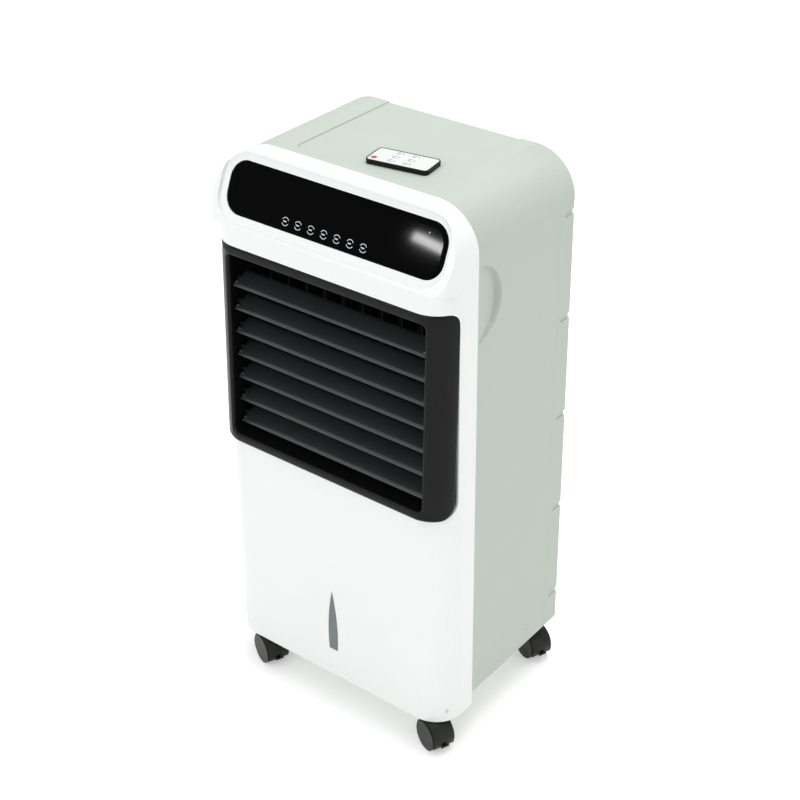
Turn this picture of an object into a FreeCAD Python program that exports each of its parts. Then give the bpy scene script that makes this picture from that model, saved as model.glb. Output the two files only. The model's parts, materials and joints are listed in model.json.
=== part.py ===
"""Evaporative air cooler on casters: a parametric FreeCAD document.

Millimetres, +Z up, the front faces -Y. The origin is on the floor, under the middle of the cooler.
Driving sizes live in the spreadsheet Sizes, and each sub-part is bound to them by expressions.
"""
import FreeCAD, Part
import os
import re

import Sketcher
from FreeCAD import Placement, Rotation, Vector

os.makedirs("parts", exist_ok=True)
doc = FreeCAD.newDocument("evaporative_cooler")

# ---------------------------------------------------------------- driving sizes
SIZES = {
    # overall casing
    "overall_width": 370, "overall_height": 774, "shell_depth": 65, "body_depth": 202,
    "frame_proud": 9, "skirt_height": 45, "body_base_height": 66, "wall": 3, "top_radius": 58,
    "shell_corner_radius": 42, "head_corner_radius": 20, "seat_gap": 0.2, "free_gap": 0.3,
    # head with the control panel
    "head_height": 90, "head_tilt": 23, "head_wall": 11, "dish_width": 350, "dish_height": 90,
    "dish_depth": 7, "dish_corner": 35, "lens_width": 334, "lens_height": 69, "lens_corner": 25,
    "lens_thickness": 3, "lens_ledge": 5, "lens_rise": 49.5, "board_thickness": 1.6,
    "board_width": 250, "board_inset": 1,
    # grille frame and throat
    "frame_drop": 27, "frame_height": 285, "cheek_depth": 31, "cheek_width": 29.5,
    "cheek_corner_high": 14, "cheek_corner_low": 22,
    "border_low": 13, "border_high": 14, "throat_depth": 42, "throat_wall": 2.5,
    "frame_lip_height": 24,
    # louvres
    "louvre_count": 7, "louvre_foot": 17, "louvre_drop": 40, "louvre_chord": 30,
    "louvre_thickness": 2.2, "louvre_tilt": 20, "louvre_setback": 20, "louvre_end_gap": 3.6,
    "pivot_radius": 1.8, "link_pin_radius": 1, "louvre_link_reach": 13, "bar_thickness": 1.6,
    "bar_width": 4.4, "bar_end": 4, "running_gap": 0.05, "pin_relief": 0.3,
    # swing blades
    "blade_count": 9, "blade_pitch": 30, "blade_chord": 28, "blade_thickness": 1.8,
    "blade_setback": 56, "blade_end_gap": 4, "swing_link_reach": 11, "swing_bar_drop": 1.2,
    "drive_pin_drop": 7, "swing_motor_radius": 15, "swing_motor_height": 18,
    # blower
    "housing_back": 175, "inlet_radius": 95, "wheel_radius": 118, "wheel_band": 14,
    "wheel_setback": 92, "wheel_depth": 72, "wheel_disc": 3, "fan_blade_count": 24,
    "fan_blade_thickness": 1.5, "blade_inset": 0.5, "hub_radius": 13, "hub_length": 20,
    "hub_proud": 6, "shaft_radius": 4,
    "motor_radius": 40, "motor_length": 58, "bracket_width": 26, "bracket_thickness": 3,
    "bracket_length": 224,
    # rear intake
    "intake_half_width": 140, "intake_low": 226, "intake_drop": 126, "filter_thickness": 12,
    "filter_border": 14, "filter_rib": 3, "filter_rib_count": 9, "mesh_thickness": 1,
    "pad_thickness": 36, "pad_frame_wall": 4, "pad_inset": 6, "pad_rail": 12,
    "distributor_height": 20, "distributor_depth": 26, "distributor_wall": 2, "hose_radius": 6,
    "hose_bore": 4.5,
    # tank
    "tank_half_width": 135, "tank_height": 106, "tank_wall": 2.5, "tank_front_gap": 5,
    "tank_corner_radius": 30, "pump_width": 46, "pump_depth": 40, "pump_height": 34,
    "pump_corner": 34 / 6,
    "float_radius": 12, "float_height": 22, "float_rod_radius": 2.5, "float_x": -80,
    "float_setback": 60, "float_travel": 50, "float_rod_over": 10, "hose_elbow": 14,
    "lock_radius": 12, "lock_thickness": 5, "lock_pin_radius": 3, "lock_tab_height": 26,
    # base and casters
    "base_thickness": 4, "socket_radius": 8, "socket_height": 18, "stem_radius": 4,
    "caster_inset": 39, "caster_front": 21, "caster_rear": 254, "caster_turn": -21.5,
    "caster_offset": 17, "wheel_rolling_radius": 21, "caster_wheel_width": 12,
    "caster_hood_wall": 1.5, "caster_gap": 0.5, "caster_web": 4, "hood_low": 11,
    "collar_radius": 7, "brake_slot": 2.2, "brake_pin_x": 33, "brake_height": 14,
    "caster_width": 31, "caster_axle_radius": 2.5, "stem_length": 14,
    "brake_width": 12, "brake_thickness": 2.4, "brake_pin_radius": 1,
    # side panels
    "side_panel_depth": 172, "cover_height": 61, "grip_radius": 52, "grip_drop": 124,
    "grip_setback": 60, "grip_depth": 8, "grip_wall": 2.5, "vent_slot_height": 7, "vent_slot_count": 5,
    "vent_top_drop": 18, "vent_span_less": 62,
    "vent_slot_depth": 20, "vent_slot_bite": 2, "cap_radius": 2.2, "cap_thickness": 1.2,
    "body_cap_y": 197, "body_cap_z": 86, "corner_cap_turn": 34.3, "corner_cap_z": 62.5,
    "groove_half_width": 104, "recess_depth": 1.8, "recess_setback": 76, "recess_radius": 14,
    # level window, gland
    "window_width": 16, "window_low": 89, "window_high": 188, "window_foot": 25,
    "window_thickness": 3, "gland_radius": 8, "gland_bore": 4, "gland_length": 16,
    "gland_flange": 12, "gland_height": 150, "gland_inset": 20,
    # remote control
    "remote_length": 85, "remote_width": 40, "remote_thickness": 6.2, "remote_corner": 6,
    "remote_turn": 9, "remote_x": 33, "remote_setback": 120, "face_thickness": 0.6,
    "face_border": 1.6, "tray_length": 22, "tray_width": 24, "tray_thickness": 3.4,
}

sheet = doc.addObject("Spreadsheet::Sheet", "Sizes")
for row, (alias, number) in enumerate(SIZES.items(), start=1):
    sheet.set(f"A{row}", alias)
    sheet.set(f"B{row}", str(number))
    sheet.setAlias(f"B{row}", alias)
doc.recompute()

# Places worked out from the driving sizes; each may use the ones above it.
DERIVED = {
    "half_width": "overall_width / 2",
    "head_base_height": "overall_height - head_height",
    "frame_high": "head_base_height - frame_drop",
    "frame_low": "frame_high - frame_height",
    "opening_low": "frame_low + border_low",
    "opening_high": "frame_high - border_high",
    "top_louvre_height": "opening_high - louvre_drop",
    "louvre_pitch": "(top_louvre_height - opening_low - louvre_foot) / (louvre_count - 1)",
    "opening_half_width": "half_width - cheek_width",
    "louvre_half_length": "opening_half_width - louvre_end_gap",
    "seam_height": "overall_height - cover_height",
    "grip_height": "overall_height - grip_drop",
    "intake_high": "overall_height - intake_drop",
    "caster_x": "half_width - caster_inset",
    "gland_x": "half_width - gland_inset",
    "total_depth": "frame_proud + shell_depth + body_depth + free_gap + lock_thickness",
    "front_y": "frame_proud - total_depth / 2",
    "joint_y": "front_y + shell_depth",
    "rear_y": "joint_y + body_depth",
    "window_rise": "window_high - window_low - window_foot",
    "window_arc": "window_rise * window_rise / window_width + window_width / 4",
    "tilt_cos": "cos(head_tilt)",
    "tilt_sin": "sin(head_tilt)",
    "lens_y": "front_y + lens_rise * tilt_sin + (dish_depth) * tilt_cos",
    "lens_z": "head_base_height + lens_rise * tilt_cos - (dish_depth) * tilt_sin",
    "louvre_y": "front_y + louvre_setback",
    "blade_y": "front_y + blade_setback",
    "throat_y": "front_y + throat_depth",
    "housing_front_y": "throat_y + free_gap",
    "housing_rear_y": "front_y + housing_back",
    "blower_z": "(opening_low + opening_high) / 2",
    "louvre_pin_end": "opening_half_width + throat_wall - pin_relief",
    "louvre_bar_x": "louvre_half_length + free_gap",
    "blade_low": "opening_low + blade_end_gap",
    "blade_high": "opening_high - blade_end_gap",
    "swing_bar_z": "opening_low + swing_bar_drop",
    "motor_front_y": "housing_rear_y - motor_length",
    "wheel_front_y": "front_y + wheel_setback",
    "hub_front_y": "wheel_front_y - hub_proud",
    "panel_rear_y": "joint_y + side_panel_depth",
    "tank_low": "body_base_height + base_thickness + free_gap",
    "tank_high": "tank_low + tank_height",
    "tank_front_y": "front_y + wall + tank_front_gap",
    "filter_y": "rear_y - filter_thickness",
    "pad_rear_y": "filter_y - free_gap",
    "pad_front_y": "pad_rear_y - pad_thickness",
    "pad_half_width": "intake_half_width - pad_inset",
    "pad_low": "intake_low + pad_inset",
    "pad_high": "intake_high - pad_inset",
    "distributor_z": "intake_high + wall + free_gap",
    "distributor_mid_y": "(pad_front_y + pad_rear_y) / 2",
    "bracket_rear_y": "housing_rear_y + bracket_thickness",
    "hose_y": "(bracket_rear_y + pad_front_y) / 2",
    "hose_x": "tank_half_width - tank_wall - pump_width",
    "hose_low": "tank_high + free_gap",
    "hose_run_z": "distributor_z + distributor_height / 2",
    "hood_inner": "wheel_rolling_radius + caster_gap",
    "hood_radius": "hood_inner + caster_hood_wall",
    "lock_z": "tank_high + lock_radius + wall",
    "recess_floor": "overall_height - recess_depth",
    "recess_front_y": "front_y + recess_setback",
}

WORD = re.compile(r"[a-z_]+[a-z0-9_]*")


def expr(text):
    """Spell a formula out in spreadsheet cells."""

    def spell(match):
        word = match.group(0)
        if word in SIZES:
            return "Sizes." + word
        if word in DERIVED:
            return "(" + expr(DERIVED[word]) + ")"
        return word

    return WORD.sub(spell, str(text))


def size(alias):
    """The plain number in one spreadsheet cell."""
    return float(sheet.get(alias))


def bind(obj, **formulas):
    """Bind properties of obj, such as Length or Radius, to formulas."""
    for prop, text in formulas.items():
        obj.setExpression(prop, expr(text))
    return obj


def put(obj, x=None, y=None, z=None):
    """Bind the place of obj to formulas."""
    for axis, text in (("x", x), ("y", y), ("z", z)):
        if text is not None:
            obj.setExpression("Placement.Base." + axis, expr(text))
    return obj


# ---------------------------------------------------------------- small builders
ALONG = {
    "x": Rotation(Vector(0, 1, 0), 90),
    "y": Rotation(Vector(1, 0, 0), -90),
    "z": Rotation(),
}


def box(name, x, y, z):
    """A box between two formulas along each axis."""
    made = doc.addObject("Part::Box", name)
    bind(made, Length=f"({x[1]}) - ({x[0]})", Width=f"({y[1]}) - ({y[0]})", Height=f"({z[1]}) - ({z[0]})")
    return put(made, x[0], y[0], z[0])


def rod(name, radius, length, x, y, z, along="z"):
    """A cylinder that starts at a point and runs along an axis."""
    made = doc.addObject("Part::Cylinder", name)
    made.Placement = Placement(Vector(), ALONG[along])
    bind(made, Radius=radius, Height=length)
    return put(made, x, y, z)


def fuse(name, *shapes):
    made = doc.addObject("Part::MultiFuse", name)
    made.Shapes = list(shapes)
    made.Refine = True
    return made


def cut(name, base, *tools):
    made = doc.addObject("Part::Cut", name)
    made.Base = base
    made.Tool = tools[0] if len(tools) == 1 else fuse(name + "_tools", *tools)
    made.Refine = True
    return made


def common(name, first, second):
    made = doc.addObject("Part::Common", name)
    made.Base = first
    made.Tool = second
    made.Refine = True
    return made


def group(name, *shapes):
    made = doc.addObject("Part::Compound", name)
    made.Links = list(shapes)
    return made


def edge_along(edge, axis):
    if edge.Curve.TypeId != "Part::GeomLine":
        return False
    direction = edge.tangentAt(edge.FirstParameter)
    return abs(getattr(direction, axis)) > 0.99


def rounded(name, base, radius, wanted):
    """Fillet the edges of base that wanted(edge, box) picks."""
    doc.recompute()
    bounds = base.Shape.BoundBox
    picked = [n for n, edge in enumerate(base.Shape.Edges, start=1) if wanted(edge, bounds)]
    made = doc.addObject("Part::Fillet", name)
    made.Base = base
    made.Edges = [(n, radius, radius) for n in picked]
    return made


def upright_front(edge, bounds):
    return edge_along(edge, "z") and edge.CenterOfMass.y < bounds.YMin + 1


def upright(edge, bounds):
    return edge_along(edge, "z")


def rear_high(edge, bounds):
    back = edge.CenterOfMass.y > bounds.YMax - 1
    return edge_along(edge, "x") and back and edge.CenterOfMass.z > bounds.ZMax - 1


def rear_low(edge, bounds):
    back = edge.CenterOfMass.y > bounds.YMax - 1
    return edge_along(edge, "x") and back and edge.CenterOfMass.z < bounds.ZMin + 1


def top_sides(edge, bounds):
    return edge_along(edge, "y") and edge.CenterOfMass.z > bounds.ZMax - 1


def mirrored(name, source):
    made = doc.addObject("Part::Mirroring", name)
    made.Source = source
    made.Normal = (1, 0, 0)
    return made


def plane(body, role):
    return [f for f in body.Origin.OriginFeatures if f.Role == role][0]


def new_body(name):
    made = doc.addObject("PartDesign::Body", name)
    doc.recompute()
    return made


def new_sketch(body, role, name, turn=0.0, lift=0.0):
    sketch = body.newObject("Sketcher::SketchObject", name)
    sketch.AttachmentSupport = [(plane(body, role), "")]
    sketch.MapMode = "FlatFace"
    sketch.AttachmentOffset = Placement(Vector(0, 0, lift), Rotation(Vector(0, 0, 1), turn))
    return sketch


def named(sketch, name, formula, constraint):
    sketch.renameConstraint(sketch.addConstraint(constraint), name)
    sketch.setExpression("Constraints." + name, expr(formula))


def rectangle(body, role, name, wide, high, turn=0.0, lift=0.0):
    """A sketched rectangle about the origin of a plane of the body."""
    sketch = new_sketch(body, role, name, turn, lift)
    corners = [Vector(-5, -2, 0), Vector(5, -2, 0), Vector(5, 2, 0), Vector(-5, 2, 0)]
    for n in range(4):
        sketch.addGeometry(Part.LineSegment(corners[n], corners[(n + 1) % 4]), False)
    for n in range(4):
        sketch.addConstraint(Sketcher.Constraint("Coincident", n, 2, (n + 1) % 4, 1))
    for n in (0, 2):
        sketch.addConstraint(Sketcher.Constraint("Horizontal", n))
        sketch.addConstraint(Sketcher.Constraint("Vertical", n + 1))
    sketch.addConstraint(Sketcher.Constraint("Symmetric", 0, 1, 1, 2, -1, 1))
    named(sketch, "Wide", wide, Sketcher.Constraint("DistanceX", 0, 1, 0, 2, 10.0))
    named(sketch, "High", high, Sketcher.Constraint("DistanceY", 1, 1, 1, 2, 4.0))
    return sketch


def circle(body, role, name, radius, across="0", up="0"):
    """A sketched circle at a place on a plane of the body."""
    sketch = new_sketch(body, role, name)
    sketch.addGeometry(Part.Circle(Vector(3, 3, 0), Vector(0, 0, 1), 2.0), False)
    named(sketch, "Across", across, Sketcher.Constraint("DistanceX", -1, 1, 0, 3, 3.0))
    named(sketch, "Up", up, Sketcher.Constraint("DistanceY", -1, 1, 0, 3, 3.0))
    named(sketch, "Radius", radius, Sketcher.Constraint("Radius", 0, 2.0))
    return sketch


def pad(body, sketch, name, length, side="One side", back=False):
    made = body.newObject("PartDesign::Pad", name)
    made.Profile = sketch
    made.SideType = side
    made.Reversed = back
    bind(made, Length=length)
    body.Tip = made
    return made


def pocket(body, sketch, name, length, side="One side", back=False):
    made = body.newObject("PartDesign::Pocket", name)
    made.Profile = sketch
    made.SideType = side
    made.Reversed = back
    bind(made, Length=length)
    body.Tip = made
    return made


def body_fillet(body, name, radius, wanted):
    """Round the picked edges of the body's last feature."""
    doc.recompute()
    base = body.Tip
    bounds = base.Shape.BoundBox
    picked = [f"Edge{n}" for n, e in enumerate(base.Shape.Edges, start=1) if wanted(e, bounds)]
    made = body.newObject("PartDesign::Fillet", name)
    made.Base = (base, picked)
    bind(made, Radius=radius)
    body.Tip = made
    return made


PIECES = {}


def piece(obj, label):
    """Name a finished sub-part: the label is its file and node name."""
    obj.Label = label
    PIECES[label] = obj
    return obj


# ---------------------------------------------------------------- white front shell
def shell_form(name, inset, face_inset):
    """The outer form of the front shell, moved inwards by inset on every side."""
    wide = (f"-half_width + {inset}", f"half_width - {inset}")
    deep = (f"front_y + {inset}", "joint_y")
    lower = box(name + "_lower", wide, deep, ("skirt_height", "head_base_height"))
    lower = rounded(name + "_lower_round", lower, size("shell_corner_radius") - inset, upright_front)
    head = box(name + "_head", wide, deep, ("head_base_height", f"overall_height - {inset}"))
    head = rounded(name + "_head_round", head, size("head_corner_radius") - inset, upright_front)
    arch = box(name + "_arch", wide, deep, ("skirt_height", f"overall_height - {inset}"))
    arch = rounded(name + "_arch_round", arch, size("top_radius") - inset, top_sides)
    slope = doc.addObject("Part::Box", name + "_slope")
    slope.Placement = Placement(Vector(), Rotation(Vector(1, 0, 0), -size("head_tilt")))
    bind(slope, Length="overall_width + 2", Width="overall_height / 4", Height="overall_height / 4")
    reach = f"(overall_height / 4 - {face_inset})"
    put(slope, "-half_width - 1", f"front_y - {reach} * tilt_cos", f"head_base_height + {reach} * tilt_sin")
    return cut(name, common(name + "_whole", fuse(name + "_stack", lower, head), arch), slope)


def tilted_tool(name, wide, high, corner, depth, start):
    """A rounded block square to the sloped face, from start below that face for depth."""
    block = new_body(name)
    pad(block, rectangle(block, "XZ_Plane", name + "_outline", wide, high), name + "_pad", depth, back=True)
    body_fillet(block, name + "_round", corner, lambda e, b: edge_along(e, "y"))
    block.Placement = Placement(Vector(), Rotation(Vector(1, 0, 0), -size("head_tilt")))
    put(
        block,
        "0",
        f"front_y + lens_rise * tilt_sin + ({start}) * tilt_cos",
        f"head_base_height + lens_rise * tilt_cos - ({start}) * tilt_sin",
    )
    return block


outer = shell_form("shell_outer", 0, "0")
inner = shell_form("shell_inner", size("wall"), "head_wall")
inner_skirt = box(
    "shell_skirt",
    ("-half_width + shell_corner_radius", "half_width - shell_corner_radius"),
    ("front_y + wall", "joint_y"),
    ("skirt_height - 1", "skirt_height + 1"),
)
dish = tilted_tool("dish", "dish_width", "dish_height", "dish_corner", "dish_depth + 1", "-1")
lens_hole = tilted_tool(
    "lens_hole",
    "lens_width - 2 * lens_ledge",
    "lens_height - 2 * lens_ledge",
    "lens_corner - lens_ledge",
    "head_wall * 3",
    "0",
)
lens_seat = tilted_tool(
    "lens_seat",
    "lens_width + 2 * seat_gap",
    "lens_height + 2 * seat_gap",
    "lens_corner + seat_gap",
    "lens_thickness + seat_gap",
    "dish_depth - seat_gap",
)


def cheek_form(name, grow):
    """The grille frame's side outline, with the cheeks' rear corners rounded."""
    block = box(
        name + "_block",
        ("-half_width - 1", "half_width + 1"),
        ("front_y - 2 * frame_proud", f"front_y + cheek_depth + {grow}"),
        (f"frame_low - {grow}", f"frame_high + {grow}"),
    )
    grown = size(grow) if grow in SIZES else float(grow)
    block = rounded(name + "_high", block, size("cheek_corner_high") + grown, rear_high)
    return rounded(name, block, size("cheek_corner_low") + grown, rear_low)


frame_bay = cheek_form("frame_bay", "seat_gap")


def window_form(name, grow, y):
    """The level window's outline, a fin pointed at the top between two large arcs."""
    block = box(
        name + "_block",
        (f"-window_width / 2 - {grow}", f"window_width / 2 + {grow}"),
        y,
        (f"window_low - {grow}", f"window_high + {grow}"),
    )
    arcs = [
        rod(
            f"{name}_arc_{side}",
            f"window_arc + {grow}",
            f"({y[1]}) - ({y[0]}) + 2",
            f"{sign} * (window_arc - window_width / 2)",
            f"({y[0]}) - 1",
            "window_low + window_foot",
            "y",
        )
        for side, sign in (("left", "-1"), ("right", "1"))
    ]
    return common(name, common(name + "_half", block, arcs[0]), arcs[1])


window_hole = window_form("window_hole", "seat_gap", ("front_y - 1", "front_y + wall + 1"))
piece(
    cut("front_shell", outer, inner, inner_skirt, dish, lens_hole, lens_seat, frame_bay, window_hole),
    "front_shell",
)

# ---------------------------------------------------------------- control panel
lens = tilted_tool("lens", "lens_width", "lens_height", "lens_corner", "lens_thickness", "dish_depth")
piece(lens, "control_lens")
board = tilted_tool(
    "board", "board_width", "lens_height - 2 * board_inset", "2", "board_thickness", "head_wall + seat_gap"
)
piece(board, "control_board")

# ---------------------------------------------------------------- level window
window = window_form("window", "0", ("front_y", "front_y + window_thickness"))
piece(window, "level_window")

# ---------------------------------------------------------------- grille frame
frame_block = box(
    "frame_block",
    ("-half_width", "half_width"),
    ("front_y - frame_proud", "joint_y"),
    ("frame_low", "frame_high"),
)
frame_round = rounded("frame_round", frame_block, size("shell_corner_radius"), upright_front)
frame_outline = common("frame_outline", frame_round, cheek_form("cheek_form", "0"))
above_lip = doc.addObject("Part::Box", "above_lip")
lip_rise = size("frame_height") - size("frame_lip_height")
lip_tilt = Rotation(Vector(0, 0, 1), Vector(0, size("frame_proud"), lip_rise))
above_lip.Placement = Placement(Vector(), lip_tilt)
bind(above_lip, Length="overall_width + 2", Width="4 * frame_proud", Height="frame_high")
put(above_lip, "-half_width - 1", "front_y - 5 * frame_proud", "frame_low + frame_lip_height")

cheek_hollow = box(
    "cheek_hollow",
    ("-half_width + wall", "half_width - wall"),
    ("front_y + wall", "joint_y"),
    ("frame_low - 1", "frame_high + 1"),
)
cheek_hollow = rounded(
    "cheek_hollow_round", cheek_hollow, size("shell_corner_radius") - size("wall"), upright_front
)
throat_block = box(
    "throat_block",
    ("-opening_half_width - throat_wall", "opening_half_width + throat_wall"),
    ("front_y", "throat_y"),
    ("opening_low - throat_wall", "opening_high + throat_wall"),
)
opening = box(
    "opening",
    ("-opening_half_width", "opening_half_width"),
    ("front_y - 2 * frame_proud", "throat_y + 1"),
    ("opening_low", "opening_high"),
)
louvre_holes = []
for n in range(int(size("louvre_count"))):
    louvre_holes.append(
        rod(
            f"louvre_hole_{n + 1}",
            "pivot_radius + running_gap",
            "overall_width",
            "-half_width + 2 * wall + 2",
            "louvre_y",
            f"top_louvre_height - {n} * louvre_pitch",
            "x",
        )
    )
    bind(louvre_holes[-1], Height="overall_width - 4 * wall - 4")
frame_skin = cut("frame_skin", frame_outline, above_lip, cheek_hollow)
piece(
    cut("frame_solid", fuse("frame_whole", frame_skin, throat_block), opening, *louvre_holes),
    "grille_frame",
)

# ---------------------------------------------------------------- louvres
for n in range(int(size("louvre_count"))):
    label = f"louvre_{n + 1}"
    louvre = new_body(label)
    profile = rectangle(
        louvre, "YZ_Plane", label + "_profile", "louvre_chord", "louvre_thickness", turn=size("louvre_tilt")
    )
    pad(louvre, profile, label + "_blade", "2 * louvre_half_length", "Symmetric")
    body_fillet(
        louvre, label + "_edges", "louvre_thickness * 0.4", lambda e, b: edge_along(e, "x")
    )
    pivot = circle(louvre, "YZ_Plane", label + "_pivot", "pivot_radius")
    pad(louvre, pivot, label + "_pivots", "2 * louvre_pin_end", "Symmetric")
    link = circle(
        louvre,
        "YZ_Plane",
        label + "_link",
        "link_pin_radius",
        "louvre_link_reach * cos(louvre_tilt)",
        "louvre_link_reach * sin(louvre_tilt)",
    )
    pad(louvre, link, label + "_link_pin", "louvre_bar_x + bar_thickness + pin_relief")
    put(louvre, "0", "louvre_y", f"top_louvre_height - {n} * louvre_pitch")
    piece(louvre, label)

last_louvre = "top_louvre_height - (louvre_count - 1) * louvre_pitch"
link_y = "louvre_y + louvre_link_reach * cos(louvre_tilt)"
link_rise = "louvre_link_reach * sin(louvre_tilt)"
bar = box(
    "louvre_bar",
    ("louvre_bar_x", "louvre_bar_x + bar_thickness"),
    (f"{link_y} - bar_width / 2", f"{link_y} + bar_width / 2"),
    (f"{last_louvre} + {link_rise} - bar_end", f"top_louvre_height + {link_rise} + bar_end"),
)
bar_holes = [
    rod(
        f"louvre_bar_hole_{n + 1}",
        "link_pin_radius + running_gap",
        "3 * bar_thickness",
        "louvre_bar_x - bar_thickness",
        link_y,
        f"top_louvre_height - {n} * louvre_pitch + {link_rise}",
        "x",
    )
    for n in range(int(size("louvre_count")))
]
piece(cut("louvre_link", bar, *bar_holes), "louvre_link_bar")

# ---------------------------------------------------------------- swing blades
blade_count = int(size("blade_count"))
middle_blade = blade_count // 2
blade_places = [f"({n} - (blade_count - 1) / 2) * blade_pitch" for n in range(blade_count)]
for n, place in enumerate(blade_places):
    label = f"swing_blade_{n + 1}"
    low_end = "opening_low - throat_wall + pin_relief"
    if n == middle_blade:
        low_end = "opening_low - throat_wall - drive_pin_drop"
    blade = box(
        label + "_plate",
        (f"{place} - blade_thickness / 2", f"{place} + blade_thickness / 2"),
        ("blade_y - blade_chord / 2", "blade_y + blade_chord / 2"),
        ("blade_low", "blade_high"),
    )
    pivot = rod(
        label + "_pivot",
        "pivot_radius",
        f"(opening_high + throat_wall - pin_relief) - ({low_end})",
        place,
        "blade_y",
        low_end,
    )
    link = rod(
        label + "_link",
        "link_pin_radius",
        "blade_low - opening_low - 2 * free_gap + 1",
        place,
        "blade_y + swing_link_reach",
        "opening_low + 2 * free_gap",
    )
    piece(fuse(label + "_solid", blade, pivot, link), label)

swing_bar = box(
    "swing_bar",
    (f"{blade_places[0]} - bar_end", f"{blade_places[-1]} + bar_end"),
    ("blade_y + swing_link_reach - bar_width / 2", "blade_y + swing_link_reach + bar_width / 2"),
    ("swing_bar_z", "swing_bar_z + bar_thickness"),
)
swing_holes = [
    rod(
        f"swing_bar_hole_{n + 1}",
        "link_pin_radius + running_gap",
        "3 * bar_thickness",
        place,
        "blade_y + swing_link_reach",
        "swing_bar_z - bar_thickness",
    )
    for n, place in enumerate(blade_places)
]
piece(cut("swing_link", swing_bar, *swing_holes), "swing_link_bar")

motor_can = rod(
    "swing_motor_can",
    "swing_motor_radius",
    "swing_motor_height",
    blade_places[middle_blade],
    "blade_y",
    "opening_low - throat_wall - swing_motor_height",
)
motor_socket = rod(
    "swing_motor_socket",
    "pivot_radius + running_gap",
    "drive_pin_drop + free_gap + 1",
    blade_places[middle_blade],
    "blade_y",
    "opening_low - throat_wall - drive_pin_drop - free_gap",
)
piece(cut("swing_motor_solid", motor_can, motor_socket), "swing_motor")

# ---------------------------------------------------------------- blower
housing_outer = box(
    "housing_outer",
    ("-opening_half_width - throat_wall", "opening_half_width + throat_wall"),
    ("housing_front_y", "housing_rear_y"),
    ("opening_low - throat_wall", "opening_high + throat_wall"),
)
housing_inner = box(
    "housing_inner",
    ("-opening_half_width", "opening_half_width"),
    ("housing_front_y - 1", "housing_rear_y - throat_wall"),
    ("opening_low", "opening_high"),
)
inlet = rod(
    "inlet",
    "inlet_radius",
    "4 * throat_wall",
    "0",
    "housing_rear_y - 2 * throat_wall",
    "blower_z",
    "y",
)
blade_holes = [
    rod(
        f"blade_hole_{n + 1}",
        "pivot_radius + running_gap",
        "opening_high - opening_low + 4 * throat_wall",
        place,
        "blade_y",
        "opening_low - 2 * throat_wall",
    )
    for n, place in enumerate(blade_places)
]
piece(cut("housing", housing_outer, housing_inner, inlet, *blade_holes), "blower_housing")

bracket_bar = box(
    "bracket_bar",
    ("-bracket_width / 2", "bracket_width / 2"),
    ("housing_rear_y", "housing_rear_y + bracket_thickness"),
    ("blower_z - bracket_length / 2", "blower_z + bracket_length / 2"),
)
bracket_cross = box(
    "bracket_cross",
    ("-bracket_length / 2", "bracket_length / 2"),
    ("housing_rear_y", "housing_rear_y + bracket_thickness"),
    ("blower_z - bracket_width / 2", "blower_z + bracket_width / 2"),
)
piece(fuse("bracket", bracket_bar, bracket_cross), "motor_bracket")

can = rod("motor_can", "motor_radius", "motor_length", "0", "motor_front_y", "blower_z", "y")
shaft = rod(
    "motor_shaft", "shaft_radius", "motor_front_y - hub_front_y + 1", "0", "hub_front_y", "blower_z", "y"
)
piece(fuse("motor", can, shaft), "blower_motor")

disc = rod("wheel_disc_plate", "wheel_radius", "wheel_disc", "0", "wheel_front_y", "blower_z", "y")
hub = rod("wheel_hub", "hub_radius", "hub_length", "0", "hub_front_y", "blower_z", "y")
rim_outer = rod(
    "rim_outer",
    "wheel_radius",
    "wheel_disc",
    "0",
    "wheel_front_y + wheel_depth - wheel_disc",
    "blower_z",
    "y",
)
rim_inner = rod(
    "rim_inner",
    "wheel_radius - wheel_band",
    "3 * wheel_disc",
    "0",
    "wheel_front_y + wheel_depth - 2 * wheel_disc",
    "blower_z",
    "y",
)
rim = cut("wheel_rim", rim_outer, rim_inner)
fan_blades = []
for n in range(int(size("fan_blade_count"))):
    angle = f"{n} * 360 / fan_blade_count"
    fan_blade = doc.addObject("Part::Box", f"fan_blade_{n + 1}")
    turn = n * 360.0 / size("fan_blade_count")
    fan_blade.Placement = Placement(Vector(), Rotation(Vector(0, 1, 0), -turn))
    bind(fan_blade, Length="wheel_band", Width="wheel_depth", Height="fan_blade_thickness")
    put(
        fan_blade,
        f"(wheel_radius - wheel_band - blade_inset) * cos({angle})",
        "wheel_front_y",
        f"blower_z + (wheel_radius - wheel_band - blade_inset) * sin({angle})",
    )
    fan_blades.append(fan_blade)
shaft_bore = rod(
    "wheel_bore",
    "shaft_radius + running_gap",
    "hub_length * 2",
    "0",
    "hub_front_y - 5",
    "blower_z",
    "y",
)
piece(cut("wheel", fuse("wheel_solid", disc, hub, rim, *fan_blades), shaft_bore), "blower_wheel")

# ---------------------------------------------------------------- casing
def arch_block(name, inset, y, low, high):
    """A block across the casing with rounded top corners, moved inwards by inset."""
    block = box(name + "_box", (f"-half_width + {inset}", f"half_width - {inset}"), y, (low, high))
    return rounded(name, block, size("top_radius") - inset, top_sides)


wall = size("wall")
cover_outer = arch_block("cover_outer", 0, ("joint_y", "rear_y"), "seam_height", "overall_height")
cover_inner = arch_block(
    "cover_inner", wall, ("joint_y - 1", "rear_y - wall"), "seam_height - 1", "overall_height - wall"
)
recess = box(
    "recess_box",
    ("-groove_half_width", "groove_half_width"),
    ("recess_front_y", "rear_y + 1"),
    ("overall_height - recess_depth", "overall_height + 1"),
)
recess = rounded("recess", recess, size("recess_radius"), upright_front)
piece(cut("cover", cover_outer, cover_inner, recess), "top_cover")


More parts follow.
